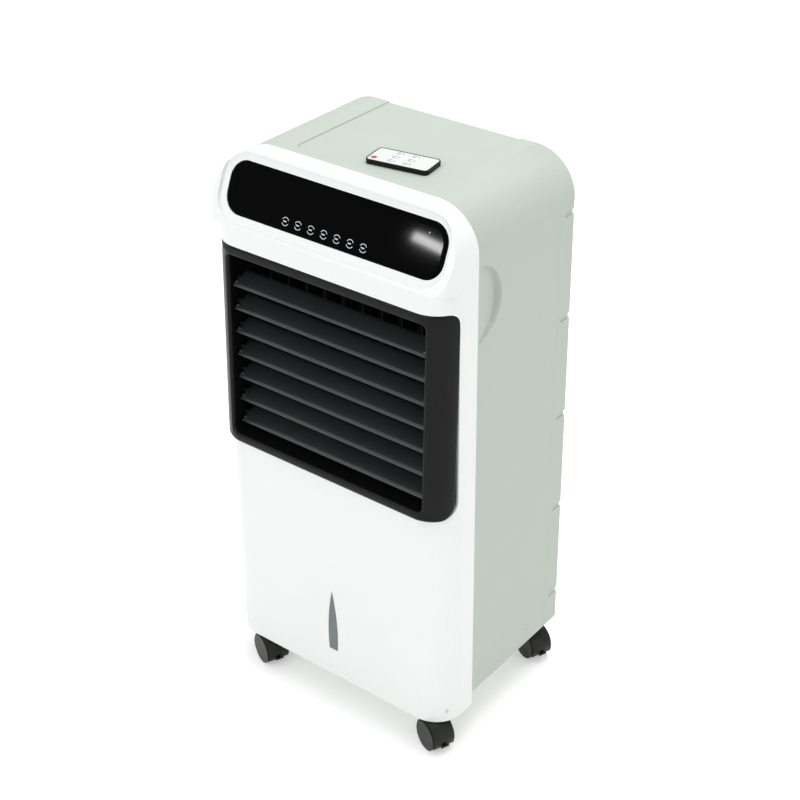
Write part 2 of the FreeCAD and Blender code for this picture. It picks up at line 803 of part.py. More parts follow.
def side_panel():
    skin = box(
        "panel_skin",
        ("half_width - wall", "half_width"),
        ("joint_y", "panel_rear_y"),
        ("body_base_height", "seam_height"),
    )
    backing = box(
        "grip_backing",
        ("half_width - grip_depth - grip_wall", "half_width - wall / 2"),
        ("joint_y", "front_y + grip_setback + grip_radius + grip_wall"),
        ("grip_height - grip_radius - grip_wall", "grip_height + grip_radius + grip_wall"),
    )
    scoop = doc.addObject("Part::Cylinder", "grip_scoop")
    lean = Rotation(Vector(0, 0, 1), Vector(size("grip_radius"), size("grip_depth"), 0))
    scoop.Placement = Placement(Vector(), lean)
    bind(scoop, Radius="grip_radius", Height="4 * grip_depth")
    put(scoop, "half_width", "front_y + grip_setback", "grip_height")
    return cut("panel_right", fuse("panel_whole", skin, backing), scoop)


right_panel = piece(side_panel(), "side_panel_right")
piece(mirrored("panel_left", right_panel), "side_panel_left")

rear_outer = box(
    "rear_outer",
    ("-half_width", "half_width"),
    ("panel_rear_y", "rear_y"),
    ("body_base_height", "seam_height"),
)
rear_inner = box(
    "rear_inner",
    ("-half_width + wall", "half_width - wall"),
    ("panel_rear_y - 1", "rear_y - wall"),
    ("body_base_height - 1", "seam_height + 1"),
)
intake = box(
    "intake",
    ("-intake_half_width - seat_gap", "intake_half_width + seat_gap"),
    ("rear_y - 2 * wall", "rear_y + 1"),
    ("intake_low - seat_gap", "intake_high + seat_gap"),
)
tank_door = box(
    "tank_door",
    ("-tank_half_width - free_gap", "tank_half_width + free_gap"),
    ("rear_y - 2 * wall", "rear_y + 1"),
    ("body_base_height - 1", "tank_high + free_gap"),
)
slots = []
vent_pitch = "(seam_height - body_base_height - vent_span_less) / (vent_slot_count - 1)"
for n in range(int(size("vent_slot_count"))):
    for side, x in (("right", "half_width - vent_slot_bite"), ("left", "-half_width - vent_slot_bite")):
        slots.append(
            box(
                f"vent_slot_{side}_{n + 1}",
                (x, f"{x} + 2 * vent_slot_bite"),
                ("rear_y - vent_slot_depth", "rear_y + 1"),
                (
                    f"seam_height - vent_top_drop - {n} * {vent_pitch}",
                    f"seam_height - vent_top_drop - {n} * {vent_pitch} + vent_slot_height",
                ),
            )
        )
gland_hole = rod(
    "gland_hole", "gland_radius + seat_gap", "4 * wall", "gland_x", "rear_y - 2 * wall", "gland_height", "y"
)
lock_hole = rod(
    "lock_hole", "lock_pin_radius + running_gap", "4 * wall", "0", "rear_y - 2 * wall", "lock_z", "y"
)
piece(
    cut("rear", rear_outer, rear_inner, intake, tank_door, gland_hole, lock_hole, *slots), "rear_frame"
)

lock_disc = rod("lock_disc", "lock_radius", "lock_thickness", "0", "rear_y + free_gap", "lock_z", "y")
lock_tab = box(
    "lock_tab",
    ("0", "lock_tab_height"),
    ("rear_y + free_gap", "rear_y + free_gap + lock_thickness / 2"),
    ("lock_z - lock_radius / 2", "lock_z + lock_radius / 2"),
)
lock_pin = rod("lock_pin", "lock_pin_radius", "wall + 2 * free_gap", "0", "rear_y - wall", "lock_z", "y")
piece(fuse("lock", lock_disc, lock_tab, lock_pin), "tank_lock")

gland_barrel = rod(
    "gland_barrel", "gland_radius", "gland_length", "gland_x", "rear_y - gland_length", "gland_height", "y"
)
gland_ring = rod(
    "gland_ring", "gland_flange", "wall / 2", "gland_x", "rear_y - wall - wall / 2", "gland_height", "y"
)
gland_bore = rod(
    "gland_bore_hole",
    "gland_bore",
    "gland_length + 2",
    "gland_x",
    "rear_y - gland_length - 1",
    "gland_height",
    "y",
)
piece(cut("gland", fuse("gland_whole", gland_barrel, gland_ring), gland_bore), "cord_gland")

caps = []
for side, turn in (("right", 0), ("left", 180)):
    flank = "half_width" if side == "right" else "-half_width - cap_thickness"
    caps.append(
        rod(
            f"cap_body_{side}",
            "cap_radius",
            "cap_thickness",
            flank,
            "front_y + body_cap_y",
            "body_cap_z",
            "x",
        )
    )
    sign = "" if side == "right" else "-"
    corner_cap = rod(
        f"cap_corner_{side}",
        "cap_radius",
        "cap_thickness",
        f"{sign}(half_width - shell_corner_radius + shell_corner_radius * cos(corner_cap_turn))",
        "front_y + shell_corner_radius - shell_corner_radius * sin(corner_cap_turn)",
        "corner_cap_z",
        "x",
    )
    lean = -size("corner_cap_turn") if side == "right" else size("corner_cap_turn") + turn
    corner_cap.Placement.Rotation = Rotation(Vector(0, 0, 1), lean).multiply(ALONG["x"])
    caps.append(corner_cap)
piece(group("caps", *caps), "screw_caps")

# ---------------------------------------------------------------- rear intake
border_outer = box(
    "filter_outer",
    ("-intake_half_width", "intake_half_width"),
    ("filter_y", "rear_y"),
    ("intake_low", "intake_high"),
)
border_inner = box(
    "filter_window",
    ("-intake_half_width + filter_border", "intake_half_width - filter_border"),
    ("filter_y + mesh_thickness", "rear_y + 1"),
    ("intake_low + filter_border", "intake_high - filter_border"),
)
ribs = [
    box(
        f"filter_rib_{n + 1}",
        ("-intake_half_width + filter_border / 2", "intake_half_width - filter_border / 2"),
        ("filter_y + mesh_thickness", "rear_y - mesh_thickness"),
        (
            f"intake_low + {n + 1} * (intake_high - intake_low) / (filter_rib_count + 1) - filter_rib / 2",
            f"intake_low + {n + 1} * (intake_high - intake_low) / (filter_rib_count + 1) + filter_rib / 2",
        ),
    )
    for n in range(int(size("filter_rib_count")))
]
piece(fuse("filter", cut("filter_border_ring", border_outer, border_inner), *ribs), "air_filter")

pad_outer = box(
    "pad_outer",
    ("-pad_half_width", "pad_half_width"),
    ("pad_front_y", "pad_rear_y"),
    ("pad_low", "pad_high"),
)
pad_inner = box(
    "pad_inner",
    ("-pad_half_width + pad_frame_wall", "pad_half_width - pad_frame_wall"),
    ("pad_front_y - 1", "pad_rear_y + 1"),
    ("pad_low + pad_frame_wall", "pad_high - pad_frame_wall"),
)
piece(cut("pad_ring", pad_outer, pad_inner), "pad_frame")
piece(
    box(
        "pad_core",
        ("-pad_half_width + pad_frame_wall + free_gap", "pad_half_width - pad_frame_wall - free_gap"),
        ("pad_front_y + 1", "pad_rear_y - 1"),
        ("pad_low + pad_frame_wall + free_gap", "pad_high - pad_frame_wall - free_gap"),
    ),
    "cooling_pad",
)

trough_outer = box(
    "trough_outer",
    ("-intake_half_width - pad_rail", "intake_half_width + pad_rail"),
    ("distributor_mid_y - distributor_depth / 2", "distributor_mid_y + distributor_depth / 2"),
    ("distributor_z", "distributor_z + distributor_height"),
)
trough_inner = box(
    "trough_inner",
    ("-intake_half_width - pad_rail + distributor_wall", "intake_half_width + pad_rail - distributor_wall"),
    (
        "distributor_mid_y - distributor_depth / 2 + distributor_wall",
        "distributor_mid_y + distributor_depth / 2 - distributor_wall",
    ),
    ("distributor_z + distributor_wall", "distributor_z + distributor_height + 1"),
)
trough_inlet = rod(
    "trough_inlet",
    "hose_radius + seat_gap",
    "distributor_depth / 2",
    "hose_x",
    "distributor_mid_y - distributor_depth / 2 - 1",
    "hose_run_z",
    "y",
)
piece(cut("trough", trough_outer, trough_inner, trough_inlet), "water_distributor")

hose_parts = []
for part_name, radius in (("hose", "hose_radius"), ("hose_core", "hose_bore")):
    over = "0" if part_name == "hose" else "1"
    upright_run = rod(
        part_name + "_upright",
        radius,
        f"hose_run_z - hose_elbow - hose_low + {over}",
        "hose_x",
        "hose_y",
        f"hose_low - {over}",
    )
    elbow = doc.addObject("Part::Torus", part_name + "_elbow")
    elbow.Placement = Placement(
        Vector(), Rotation(Vector(0, -1, 0), Vector(0, 0, 1), Vector(-1, 0, 0), "XYZ")
    )
    elbow.Angle3 = 90
    bind(elbow, Radius1="hose_elbow", Radius2=radius)
    put(elbow, "hose_x", "hose_y + hose_elbow", "hose_run_z - hose_elbow")
    level_run = rod(
        part_name + "_level",
        radius,
        f"distributor_mid_y - hose_y - hose_elbow - distributor_depth / 4 + {over}",
        "hose_x",
        "hose_y + hose_elbow",
        "hose_run_z",
        "y",
    )
    hose_parts.append(fuse(part_name + "_run", upright_run, elbow, level_run))
piece(cut("hose_solid", *hose_parts), "pump_hose")

# ---------------------------------------------------------------- tank
def tank_block(name, inset, low, high):
    block = box(
        name + "_box",
        (f"-tank_half_width + {inset}", f"tank_half_width - {inset}"),
        (f"tank_front_y + {inset}", f"rear_y - {inset}"),
        (low, high),
    )
    return rounded(name, block, size("tank_corner_radius") - inset, upright_front)


tank_outer = tank_block("tank_outer", 0, "tank_low", "tank_high")
tank_inner = tank_block("tank_inner", size("tank_wall"), "tank_low + tank_wall", "tank_high + 1")
float_y = "front_y + float_setback"
float_rod = rod(
    "float_rod",
    "float_rod_radius",
    "float_travel + float_height + float_rod_over",
    "float_x",
    float_y,
    "tank_low + tank_wall / 2",
)
piece(fuse("tank", cut("tank_hollow", tank_outer, tank_inner), float_rod), "water_tank")

float_ring = rod(
    "float_ring", "float_radius", "float_height", "float_x", float_y, "tank_low + tank_wall + free_gap"
)
float_bore = rod(
    "float_bore",
    "float_rod_radius + 2 * running_gap",
    "float_height + 2",
    "float_x",
    float_y,
    "tank_low + tank_wall - 1",
)
piece(cut("float", float_ring, float_bore), "tank_float")

pump_block = box(
    "pump_block",
    ("hose_x - pump_width / 2", "hose_x + pump_width / 2"),
    ("hose_y - pump_depth / 2", "hose_y + pump_depth / 2"),
    ("tank_low + tank_wall", "tank_low + tank_wall + pump_height"),
)
pump_block = rounded("pump_round", pump_block, size("pump_corner"), upright)
pump_outlet = rod(
    "pump_outlet",
    "hose_radius",
    "tank_height - tank_wall - pump_height / 2",
    "hose_x",
    "hose_y",
    "tank_low + tank_wall + pump_height / 2",
)
pump_bore = rod(
    "pump_bore",
    "hose_bore",
    "tank_height - tank_wall - pump_height + 1",
    "hose_x",
    "hose_y",
    "tank_low + tank_wall + pump_height",
)
piece(cut("pump", fuse("pump_whole", pump_block, pump_outlet), pump_bore), "water_pump")

# ---------------------------------------------------------------- base tray
tray_plate = box(
    "tray_plate",
    ("-half_width + wall + seat_gap", "half_width - wall - seat_gap"),
    ("front_y + wall + seat_gap", "rear_y - wall - seat_gap"),
    ("body_base_height", "body_base_height + base_thickness"),
)
tray_plate = rounded("tray_round", tray_plate, size("shell_corner_radius") - wall, upright_front)
corners = {
    "front_right": ("caster_x", "front_y + caster_front"),
    "front_left": ("-caster_x", "front_y + caster_front"),
    "rear_right": ("caster_x", "front_y + caster_rear"),
    "rear_left": ("-caster_x", "front_y + caster_rear"),
}
sockets = []
stem_holes = []
for corner, (x, y) in corners.items():
    sockets.append(rod("socket_" + corner, "socket_radius", "socket_height", x, y, "body_base_height"))
    stem_holes.append(
        rod(
            "stem_hole_" + corner,
            "stem_radius + running_gap",
            "stem_length + 1 + free_gap",
            x,
            y,
            "body_base_height - 1",
        )
    )
piece(cut("base", fuse("base_whole", tray_plate, *sockets), *stem_holes), "base_tray")


# ---------------------------------------------------------------- casters
def place_caster_part(obj, x, y):
    """Turn a part made about the swivel axis to its resting direction, at its corner."""
    obj.Placement = Placement(Vector(), Rotation(Vector(0, 0, 1), size("caster_turn")))
    return put(obj, x, y)


def drum(name, radius, half_length, x="caster_offset", z="wheel_rolling_radius"):
    return rod(name, radius, f"2 * ({half_length})", x, f"-({half_length})", z, "y")


def caster_hood(corner):
    name = "hood_" + corner
    ring = cut(
        name + "_ring",
        drum(name + "_outer", "hood_radius", "caster_width / 2"),
        drum(name + "_inner", "hood_inner", "caster_width"),
    )
    web = fuse(
        name + "_web",
        drum(name + "_disc", "hood_inner + seat_gap", "caster_web"),
        box(
            name + "_neck",
            ("-collar_radius / 2", "caster_offset"),
            ("-caster_web", "caster_web"),
            ("wheel_rolling_radius", "2 * wheel_rolling_radius"),
        ),
    )
    collar = rod(
        name + "_collar",
        "collar_radius",
        "body_base_height - free_gap - 2 * wheel_rolling_radius + 2",
        "0",
        "0",
        "2 * wheel_rolling_radius - 2",
    )
    stem = rod(
        name + "_stem", "stem_radius", "stem_length + 2", "0", "0", "body_base_height - free_gap - 2"
    )
    floor_cut = box(
        name + "_floor_cut",
        ("-overall_width", "overall_width"),
        ("-caster_width", "caster_width"),
        ("-hood_radius", "hood_low"),
    )
    brake_slot = box(
        name + "_brake_slot",
        ("brake_pin_x - 2 * brake_pin_radius - 1", "caster_offset + 2 * hood_radius"),
        ("-brake_slot", "brake_slot"),
        ("hood_low - 1", "brake_height + 2 * brake_thickness"),
    )
    axle_hole = drum(name + "_axle_hole", "caster_axle_radius + running_gap", "caster_web + 1")
    pin_hole = drum(
        name + "_pin_hole", "brake_pin_radius + running_gap", "caster_web + 1", "brake_pin_x", "brake_height"
    )
    whole = fuse(name + "_whole", ring, web, collar, stem)
    return cut(name, whole, floor_cut, brake_slot, axle_hole, pin_hole)


def caster_wheels(corner):
    name = "wheels_" + corner
    axle = drum(name + "_axle", "caster_axle_radius", "caster_width / 2 - 2")
    tyres = [
        rod(
            f"{name}_{side}",
            "wheel_rolling_radius",
            "caster_wheel_width",
            "caster_offset",
            y,
            "wheel_rolling_radius",
            "y",
        )
        for side, y in (("a", "caster_web + 1"), ("b", "-caster_web - 1 - caster_wheel_width"))
    ]
    return fuse(name, axle, *tyres)


def brake_lever(corner):
    name = "brake_" + corner
    tongue = box(
        name + "_tongue",
        ("brake_pin_x - 2 * brake_pin_radius", "caster_offset + hood_radius + 2"),
        ("-brake_slot + running_gap * 4", "brake_slot - running_gap * 4"),
        ("brake_height - brake_thickness / 2", "brake_height + brake_thickness / 2"),
    )
    pedal = box(
        name + "_pedal",
        ("caster_offset + hood_radius + free_gap", "caster_offset + hood_radius + 2 + free_gap"),
        ("-brake_width / 2", "brake_width / 2"),
        ("brake_height - brake_thickness / 2", "brake_height + brake_thickness / 2"),
    )
    pin = drum(name + "_pin", "brake_pin_radius", "caster_web", "brake_pin_x", "brake_height")
    return fuse(name, tongue, pedal, pin)


for corner, (x, y) in corners.items():
    piece(place_caster_part(caster_hood(corner), x, y), "caster_hood_" + corner)
    piece(place_caster_part(caster_wheels(corner), x, y), "caster_wheels_" + corner)
    piece(place_caster_part(brake_lever(corner), x, y), "brake_lever_" + corner)


# ---------------------------------------------------------------- remote control
def place_remote_part(obj):
    """Parts made flat about the remote's middle, turned on the top cover."""
    obj.Placement = Placement(Vector(), Rotation(Vector(0, 0, 1), size("remote_turn")))
    return put(obj, "remote_x", "front_y + remote_setback", "recess_floor")


def remote_block(name, inset, low, high):
    block = box(
        name + "_box",
        (f"-remote_length / 2 + {inset}", f"remote_length / 2 - {inset}"),
        (f"-remote_width / 2 + {inset}", f"remote_width / 2 - {inset}"),
        (low, high),
    )
    return rounded(name, block, size("remote_corner") - inset, upright)


tray_slot = box(
    "tray_slot",
    ("remote_length / 2 - tray_length - free_gap", "remote_length / 2 + 1"),
    ("-tray_width / 2 - free_gap", "tray_width / 2 + free_gap"),
    ("1 - free_gap", "1 + tray_thickness + free_gap"),
)
face_seat = remote_block(
    "face_seat", size("face_border"), "remote_thickness - face_thickness", "remote_thickness + 1"
)
case = cut("case", remote_block("case_block", 0, "0", "remote_thickness"), tray_slot, face_seat)
piece(place_remote_part(case), "remote_case")
face = remote_block(
    "face",
    size("face_border") + size("seat_gap"),
    "remote_thickness - face_thickness",
    "remote_thickness",
)
piece(place_remote_part(face), "remote_face")
battery_tray = box(
    "battery_tray",
    ("remote_length / 2 - tray_length", "remote_length / 2"),
    ("-tray_width / 2", "tray_width / 2"),
    ("1", "1 + tray_thickness"),
)
battery_tray = rounded("battery_tray_round", battery_tray, size("face_thickness"), upright)
piece(place_remote_part(battery_tray), "remote_battery_tray")

# ---------------------------------------------------------------- write the sub-parts
doc.recompute()
faults = [o.Name for o in doc.Objects if "Invalid" in o.State or "Error" in o.State]
for label, obj in PIECES.items():
    if obj.Shape.isNull() or not obj.Shape.isValid() or not obj.Shape.Solids:
        faults.append(label)
if faults:
    raise RuntimeError("faulty objects: " + ", ".join(faults))
for label, obj in PIECES.items():
    obj.Shape.exportStep(f"parts/{label}.step")
print(len(PIECES), "sub-parts")
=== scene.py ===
"""Looks for the evaporative air cooler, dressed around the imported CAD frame.

Metres, +Z up, the front faces -Y. Sizes in the mesh builders are millimetres.
"""

import json
import math

import bmesh
import bpy
from mathutils import Matrix, Vector


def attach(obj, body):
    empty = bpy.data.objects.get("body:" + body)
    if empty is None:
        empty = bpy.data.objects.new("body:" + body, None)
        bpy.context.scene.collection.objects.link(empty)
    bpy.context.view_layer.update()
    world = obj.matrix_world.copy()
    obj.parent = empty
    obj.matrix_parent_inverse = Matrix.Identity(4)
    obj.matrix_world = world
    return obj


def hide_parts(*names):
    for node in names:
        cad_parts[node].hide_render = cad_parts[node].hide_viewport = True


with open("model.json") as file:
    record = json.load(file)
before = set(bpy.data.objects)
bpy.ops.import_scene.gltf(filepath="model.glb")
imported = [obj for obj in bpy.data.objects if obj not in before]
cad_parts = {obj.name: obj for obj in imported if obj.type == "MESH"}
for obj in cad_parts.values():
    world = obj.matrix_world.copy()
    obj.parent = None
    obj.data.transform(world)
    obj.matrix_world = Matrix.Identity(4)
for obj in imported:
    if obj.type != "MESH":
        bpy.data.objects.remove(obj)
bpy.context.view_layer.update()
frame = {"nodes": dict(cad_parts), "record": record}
NODES = frame["nodes"]
MM = 0.001
CABINET = "casing"

# Places that the CAD gives, in millimetres.
FRONT_Y = -131.65
HALF_W = 185.0
TILT = math.radians(23.0)
HEAD_BASE = 684.0


# ------------------------------------------------------------------ materials
def srgb(r, g, b):
    """Linear colour from 0-255 display values."""
    def lin(v):
        v = v / 255.0
        return v / 12.92 if v <= 0.04045 else ((v + 0.055) / 1.055) ** 2.4
    return (lin(r), lin(g), lin(b), 1.0)


def plastic(name, colour, rough=0.4, spread=0.06, vary=0.03, grain=900.0, bump=0.02, coat=0.0, spec=0.5,
            mottle=14.0, coat_rough=0.05):
    """Moulded plastic: slight tone drift, roughness drift and a fine moulded grain."""
    mat = bpy.data.materials.new(name)
    mat.use_nodes = True
    tree = mat.node_tree
    tree.nodes.clear()
    out = tree.nodes.new("ShaderNodeOutputMaterial")
    bsdf = tree.nodes.new("ShaderNodeBsdfPrincipled")
    tree.links.new(bsdf.outputs[0], out.inputs[0])
    where = tree.nodes.new("ShaderNodeTexCoord")
    drift = tree.nodes.new("ShaderNodeTexNoise")
    drift.inputs["Scale"].default_value = mottle
    drift.inputs["Detail"].default_value = 3.0
    tree.links.new(where.outputs["Object"], drift.inputs["Vector"])
    tone = tree.nodes.new("ShaderNodeValToRGB")
    dark = [c * (1.0 - vary) for c in colour[:3]] + [1.0]
    light = [min(1.0, c * (1.0 + vary)) for c in colour[:3]] + [1.0]
    tone.color_ramp.elements[0].position = 0.3
    tone.color_ramp.elements[0].color = dark
    tone.color_ramp.elements[1].position = 0.7
    tone.color_ramp.elements[1].color = light
    tree.links.new(drift.outputs["Fac"], tone.inputs["Fac"])
    tree.links.new(tone.outputs["Color"], bsdf.inputs["Base Color"])
    span = tree.nodes.new("ShaderNodeMapRange")
    span.inputs["To Min"].default_value = max(0.02, rough - spread)
    span.inputs["To Max"].default_value = min(1.0, rough + spread)
    tree.links.new(drift.outputs["Fac"], span.inputs["Value"])
    tree.links.new(span.outputs["Result"], bsdf.inputs["Roughness"])
    fine = tree.nodes.new("ShaderNodeTexNoise")
    fine.inputs["Scale"].default_value = grain
    fine.inputs["Detail"].default_value = 2.0
    tree.links.new(where.outputs["Object"], fine.inputs["Vector"])
    relief = tree.nodes.new("ShaderNodeBump")
    relief.inputs["Strength"].default_value = bump
    relief.inputs["Distance"].default_value = 0.0006
    tree.links.new(fine.outputs["Fac"], relief.inputs["Height"])
    tree.links.new(relief.outputs["Normal"], bsdf.inputs["Normal"])
    bsdf.inputs["Specular IOR Level"].default_value = spec
    bsdf.inputs["Coat Weight"].default_value = coat
    bsdf.inputs["Coat Roughness"].default_value = coat_rough
    return mat


def metal(name, colour, rough=0.35):
    """Zinc plated sheet: metallic, with brushed roughness drift."""
    mat = plastic(name, colour, rough, spread=0.1, vary=0.08, grain=400.0, bump=0.04)
    mat.node_tree.nodes["Principled BSDF"].inputs["Metallic"].default_value = 1.0
    return mat


def pad_stuff(name):
    """Corrugated cellulose: slanted flutes of brown paper."""
    mat = plastic(name, (0.36, 0.235, 0.11, 1.0), 0.9, spread=0.05, vary=0.2, grain=300.0, bump=0.1)
    tree = mat.node_tree
    bsdf = tree.nodes["Principled BSDF"]
    where = tree.nodes["Texture Coordinate"]
    wave = tree.nodes.new("ShaderNodeTexWave")
    wave.bands_direction = "DIAGONAL"
    wave.inputs["Scale"].default_value = 60.0
    wave.inputs["Distortion"].default_value = 2.0
    tree.links.new(where.outputs["Object"], wave.inputs["Vector"])
    relief = tree.nodes.new("ShaderNodeBump")
    relief.inputs["Strength"].default_value = 0.6
    relief.inputs["Distance"].default_value = 0.003
    tree.links.new(wave.outputs["Fac"], relief.inputs["Height"])
    tree.links.new(relief.outputs["Normal"], bsdf.inputs["Normal"])
    return mat


MATS = {
    "shell_white": plastic("shell_white", srgb(247, 250, 248), 0.3, 0.04, 0.005, 700.0, 0.004, coat=0.12),
    "casing_grey": plastic("casing_grey", srgb(196, 205, 195), 0.55, 0.06, 0.012, 1600.0, 0.05, spec=0.35),
    "lens_black": plastic("lens_black", srgb(2, 2, 3), 0.045, 0.01, 0.1, 300.0, 0.0, spec=0.03),
    "grille_black": plastic("grille_black", srgb(15, 17, 15), 0.3, 0.05, 0.08, 1300.0, 0.02, spec=0.16),
    "louvre_black": plastic("louvre_black", srgb(47, 49, 50), 0.36, 0.06, 0.08, 1300.0, 0.02,
                            spec=0.4, coat=0.5, coat_rough=0.16),
    "window_smoke": plastic("window_smoke", srgb(103, 110, 111), 0.16, 0.04, 0.05, 500.0, 0.004, coat=0.25),
    "inner_plastic": plastic("inner_plastic", srgb(214, 218, 216), 0.5, 0.06, 0.02, 1200.0, 0.04),
    "steel": metal("steel", (0.58, 0.59, 0.6, 1.0)),
    "tank_clear": plastic("tank_clear", srgb(216, 222, 224), 0.36, 0.06, 0.02, 800.0, 0.02),
    "pad_brown": pad_stuff("pad_brown"),
    "rubber_black": plastic("rubber_black", srgb(26, 26, 26), 0.66, 0.06, 0.1, 1200.0, 0.08),
    "caster_black": plastic("caster_black", srgb(18, 21, 16), 0.36, 0.07, 0.08, 1200.0, 0.03, spec=0.25),
    "board_green": plastic("board_green", srgb(24, 92, 56), 0.45, 0.06, 0.08, 900.0, 0.03),
    "remote_white": plastic("remote_white", srgb(228, 232, 230), 0.5, 0.05, 0.008, 1600.0, 0.02, spec=0.3),
}

# The pieces behind the louvres take a duller and darker black than their slot's own. This is painted shade,
# standing in for the room light that doesn't reach them.
MATS["painted_shade_black"] = plastic("painted_shade_black", srgb(14, 15, 15), 0.62, 0.06, 0.08, 900.0, 0.03, spec=0.08)
IN_PAINTED_SHADE = ("swing_blade", "swing_link", "blower_housing", "blower_wheel")

slot_of = {row["node"]: row["material_slot"] for row in frame["record"]["subparts"]}
for node, obj in NODES.items():
    mat = MATS["painted_shade_black" if node.startswith(IN_PAINTED_SHADE) else slot_of[node]]
    obj.data.materials.clear()
    obj.data.materials.append(mat)

# ------------------------------------------------------------------ mesh builders
def mesh_piece(name, verts, faces, mat, body, slot, smooth=True, replaces=()):
    """A mesh in millimetres, made into a piece that rides on a body."""
    mesh = bpy.data.meshes.new(name)
    mesh.from_pydata([Vector(v) * MM for v in verts], [], faces)
    build = bmesh.new()
    build.from_mesh(mesh)
    bmesh.ops.remove_doubles(build, verts=build.verts, dist=1e-6)
    bmesh.ops.recalc_face_normals(build, faces=build.faces)
    build.to_mesh(mesh)
    build.free()
    for poly in mesh.polygons:
        poly.use_smooth = smooth
    if smooth:
        mesh.set_sharp_from_angle(angle=math.radians(32))
    mesh.materials.append(mat)
    obj = bpy.data.objects.new(name, mesh)
    bpy.context.collection.objects.link(obj)
    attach(obj, body)
    if replaces:
        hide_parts(*replaces)
    return obj


def loft(rings, wrap=False, cap_start=False, cap_end=False):
    """Quads between rings of equal length; wrap joins the last ring back to the first."""
    verts = [point for ring in rings for point in ring]
    count = len(rings[0])
    faces = []
    for r in range(len(rings) if wrap else len(rings) - 1):
        base, after = r * count, (r + 1) % len(rings) * count
        for k in range(count):
            n = (k + 1) % count
            faces.append((base + k, base + n, after + n, after + k))
    if cap_start:
        faces.append(tuple(range(count))[::-1])
    if cap_end:
        base = (len(rings) - 1) * count
        faces.append(tuple(range(base, base + count)))
    return verts, faces


def round_rect(x0, x1, z0, z1, radius, per_corner=8, per_side=12, low=None):
    """Points round a rounded rectangle, as many whatever its size; low is the lower corners' radius."""
    points = []
    low = radius if low is None else low
    corners = (
        (x1 - low, z0 + low, -90, low),
        (x1 - radius, z1 - radius, 0, radius),
        (x0 + radius, z1 - radius, 90, radius),
        (x0 + low, z0 + low, 180, low),
    )
    for c, (cx, cz, start, radius) in enumerate(corners):
        arc = []
        for k in range(per_corner + 1):
            turn = math.radians(start + 90.0 * k / per_corner)
            arc.append((cx + radius * math.cos(turn), cz + radius * math.sin(turn)))
        points += arc
        nx, nz, nstart, near = corners[(c + 1) % 4]
        turn = math.radians(nstart)
        end = (nx + near * math.cos(turn), nz + near * math.sin(turn))
        for k in range(1, per_side):
            t = k / per_side
            points.append((arc[-1][0] * (1 - t) + end[0] * t, arc[-1][1] * (1 - t) + end[1] * t))
    return points


# ------------------------------------------------------------------ grille frame
CORNER_R = 42.0
FLAT = HALF_W - CORNER_R
FRAME_LOW, FRAME_HIGH = 372.0, 657.0
OPEN_LOW, OPEN_HIGH, OPEN_HALF = 385.0, 643.0, 155.5
FRAME_PROUD, LIP_TOP = 9.0, 396.0
CHEEK_BACK = 31.0
CHEEK_ROUND_HIGH, CHEEK_ROUND_LOW = 14.0, 22.0
OPEN_CORNER, OPEN_EDGE, CHEEK_EDGE = 7.0, 3.5, 4.5
THROAT_FRONT, THROAT_BACK, LIP_DEEP, SKIRT_DEEP = 14.0, 41.8, 6.0, 2.5
FRAME_POINTS = (16, 72)


def frame_proud(z):
    """How far the frame stands out at a height: most at the lip, nothing at the top."""
    rise = (FRAME_HIGH - z) / (FRAME_HIGH - LIP_TOP)
    return FRAME_PROUD * max(0.0, min(1.0, rise))


def on_frame(u, z, depth):
    """A point on the wrapped front at a distance u along it, depth below the skin."""
    sign = 1.0 if u >= 0 else -1.0
    run = abs(u)
    front = FRONT_Y - frame_proud(z)
    if run <= FLAT:
        return (u, front + depth, z)
    turn = (run - FLAT) / CORNER_R
    r = CORNER_R - depth
    return (sign * (FLAT + r * math.sin(turn)), front + CORNER_R - r * math.cos(turn), z)


def grille_frame():
    """The frame as one skin: throat, rolled inner edge, wrapped face and rolled outer edge."""
    side_turn = math.acos(1.0 - (CHEEK_BACK + FRAME_PROUD * 0.5) / CORNER_R)
    side_u = FLAT + CORNER_R * side_turn
    inner = (-OPEN_HALF, OPEN_HALF, OPEN_LOW, OPEN_HIGH)
    outer = (-side_u, side_u, FRAME_LOW, FRAME_HIGH)
    rings = []

    def ring(rect, grow, radius, depth, low=None):
        pts = round_rect(rect[0] - grow, rect[1] + grow, rect[2] - grow, rect[3] + grow,
                         radius, *FRAME_POINTS, low)
        rings.append([on_frame(u, z, depth) for u, z in pts])

    throat = round_rect(*inner, OPEN_CORNER, *FRAME_POINTS)
    rings.append([(u, FRONT_Y + THROAT_BACK, z) for u, z in throat])
    rings.append([(u, FRONT_Y + THROAT_FRONT, z) for u, z in throat])
    ring(inner, 0.0, OPEN_CORNER, LIP_DEEP)
    for k in range(6):
        turn = math.radians(90.0 * k / 5)
        out = OPEN_EDGE * (1 - math.cos(turn))
        ring(inner, out, OPEN_CORNER + out, OPEN_EDGE * (1 - math.sin(turn)))
    near = (inner[0] - OPEN_EDGE, inner[1] + OPEN_EDGE, inner[2] - OPEN_EDGE, inner[3] + OPEN_EDGE)
    far = (outer[0] + CHEEK_EDGE, outer[1] - CHEEK_EDGE, outer[2] + CHEEK_EDGE, outer[3] - CHEEK_EDGE)
    for t in (0.35, 0.7):
        between = [a * (1 - t) + b * t for a, b in zip(near, far)]
        ring(between, 0.0, OPEN_CORNER + (CHEEK_ROUND_HIGH - OPEN_CORNER) * t, 0.0,
             OPEN_CORNER + (CHEEK_ROUND_LOW - OPEN_CORNER) * t)
    for k in range(6):
        turn = math.radians(90.0 * k / 5)
        ring(outer, -CHEEK_EDGE + CHEEK_EDGE * math.sin(turn), CHEEK_ROUND_HIGH,
             CHEEK_EDGE * (1 - math.cos(turn)), CHEEK_ROUND_LOW)
    ring(outer, 0.0, CHEEK_ROUND_HIGH, CHEEK_EDGE + SKIRT_DEEP, CHEEK_ROUND_LOW)
    mesh_piece("grille_surround", *loft(rings), MATS["grille_black"], CABINET, "grille_black",
               replaces=("grille_frame",))


grille_frame()


